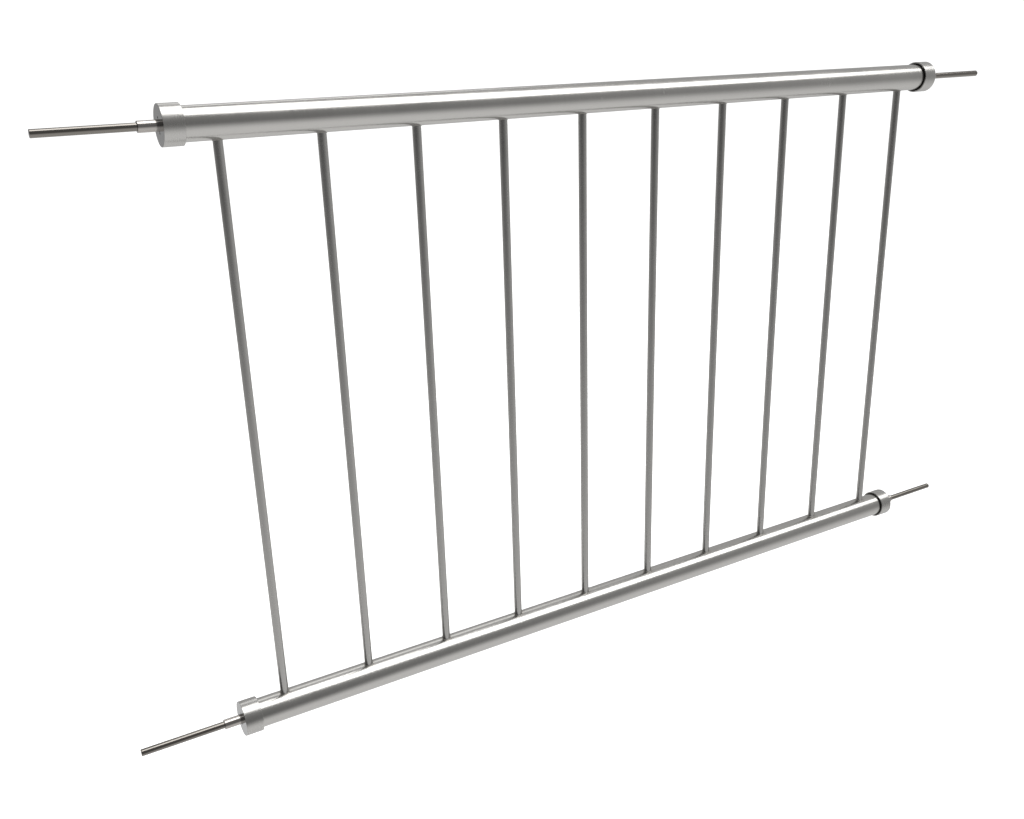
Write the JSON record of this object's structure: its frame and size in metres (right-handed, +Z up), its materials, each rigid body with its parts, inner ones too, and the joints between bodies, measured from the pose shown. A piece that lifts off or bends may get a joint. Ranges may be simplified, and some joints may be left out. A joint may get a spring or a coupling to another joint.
{
  "type": "reveal guard rail",
  "caption": "Stainless guard-rail panel: upright bars between two tube rails, with sliding, turning wall cups and retracting anchor pins at the rail ends.",
  "frame": {"origin": "centre of the panel: midway along the rails, midway between them, on their axis plane", "axes": "+X along the rails, +Y horizontal through the panel, +Z up"},
  "size_m": [1.6, 0.05, 0.8724],
  "materials": {
    "rail_steel": "brushed along the tube, satin",
    "bar_steel": "brushed along the bar, satin",
    "cup_steel": "turned and brushed round, satin",
    "turned_steel": "turned, bright",
    "pin_steel": "bright drawn, smooth",
    "weld_steel": "ground weld, pickled",
    "screw_steel": "plain",
    "black_nylon": "matt"
  },
  "bodies": {
    "frame": {"top_rail": "rail_steel", "bottom_rail": "rail_steel", "bar_01": "bar_steel", "bar_02": "bar_steel", "bar_03": "bar_steel", "bar_04": "bar_steel", "bar_05": "bar_steel", "bar_06": "bar_steel", "bar_07": "bar_steel", "bar_08": "bar_steel", "bar_09": "bar_steel", "bar_10": "bar_steel", "top_weld_beads": "weld_steel", "bottom_weld_beads": "weld_steel"},
    "top_left_slider": {"top_left_guide_ring": "black_nylon"},
    "top_left_cup": {"top_left_wall_cup": "cup_steel", "top_left_guide_sleeve": "turned_steel"},
    "top_left_pin": {"top_left_anchor_pin": "pin_steel", "top_left_stop_collar": "turned_steel", "top_left_collar_screw": "screw_steel"},
    "bottom_left_slider": {"bottom_left_guide_ring": "black_nylon"},
    "bottom_left_cup": {"bottom_left_wall_cup": "cup_steel", "bottom_left_guide_sleeve": "turned_steel"},
    "bottom_left_pin": {"bottom_left_anchor_pin": "pin_steel", "bottom_left_stop_collar": "turned_steel", "bottom_left_collar_screw": "screw_steel"},
    "top_right_slider": {"top_right_guide_ring": "black_nylon"},
    "top_right_cup": {"top_right_wall_cup": "cup_steel", "top_right_guide_sleeve": "turned_steel"},
    "top_right_pin": {"top_right_anchor_pin": "pin_steel", "top_right_stop_collar": "turned_steel", "top_right_collar_screw": "screw_steel"},
    "bottom_right_slider": {"bottom_right_guide_ring": "black_nylon"},
    "bottom_right_cup": {"bottom_right_wall_cup": "cup_steel", "bottom_right_guide_sleeve": "turned_steel"},
    "bottom_right_pin": {"bottom_right_anchor_pin": "pin_steel", "bottom_right_stop_collar": "turned_steel", "bottom_right_collar_screw": "screw_steel"}
  },
  "joints": [
    {"name": "top_left_cup_slide", "type": "slide", "parent": "frame", "child": "top_left_slider", "axis": [-1, 0, 0], "range_m": [-0.004, 0.008]},
    {"name": "top_left_cup_turn", "type": "hinge", "parent": "top_left_slider", "child": "top_left_cup", "pos_m": [-0.643, 0, 0.4112], "axis": [-1, 0, 0], "continuous": true},
    {"name": "top_left_pin_slide", "type": "slide", "parent": "top_left_cup", "child": "top_left_pin", "axis": [-1, 0, 0], "range_m": [-0.11, 0]},
    {"name": "bottom_left_cup_slide", "type": "slide", "parent": "frame", "child": "bottom_left_slider", "axis": [-1, 0, 0], "range_m": [-0.004, 0.008]},
    {"name": "bottom_left_cup_turn", "type": "hinge", "parent": "bottom_left_slider", "child": "bottom_left_cup", "pos_m": [-0.643, 0, -0.4112], "axis": [-1, 0, 0], "continuous": true},
    {"name": "bottom_left_pin_slide", "type": "slide", "parent": "bottom_left_cup", "child": "bottom_left_pin", "axis": [-1, 0, 0], "range_m": [-0.11, 0]},
    {"name": "top_right_cup_slide", "type": "slide", "parent": "frame", "child": "top_right_slider", "axis": [1, 0, 0], "range_m": [-0.004, 0.008]},
    {"name": "top_right_cup_turn", "type": "hinge", "parent": "top_right_slider", "child": "top_right_cup", "pos_m": [0.643, 0, 0.4112], "axis": [1, 0, 0], "continuous": true},
    {"name": "top_right_pin_slide", "type": "slide", "parent": "top_right_cup", "child": "top_right_pin", "axis": [1, 0, 0], "range_m": [-0.11, 0]},
    {"name": "bottom_right_cup_slide", "type": "slide", "parent": "frame", "child": "bottom_right_slider", "axis": [1, 0, 0], "range_m": [-0.004, 0.008]},
    {"name": "bottom_right_cup_turn", "type": "hinge", "parent": "bottom_right_slider", "child": "bottom_right_cup", "pos_m": [0.643, 0, -0.4112], "axis": [1, 0, 0], "continuous": true},
    {"name": "bottom_right_pin_slide", "type": "slide", "parent": "bottom_right_cup", "child": "bottom_right_pin", "axis": [1, 0, 0], "range_m": [-0.11, 0]}
  ]
}
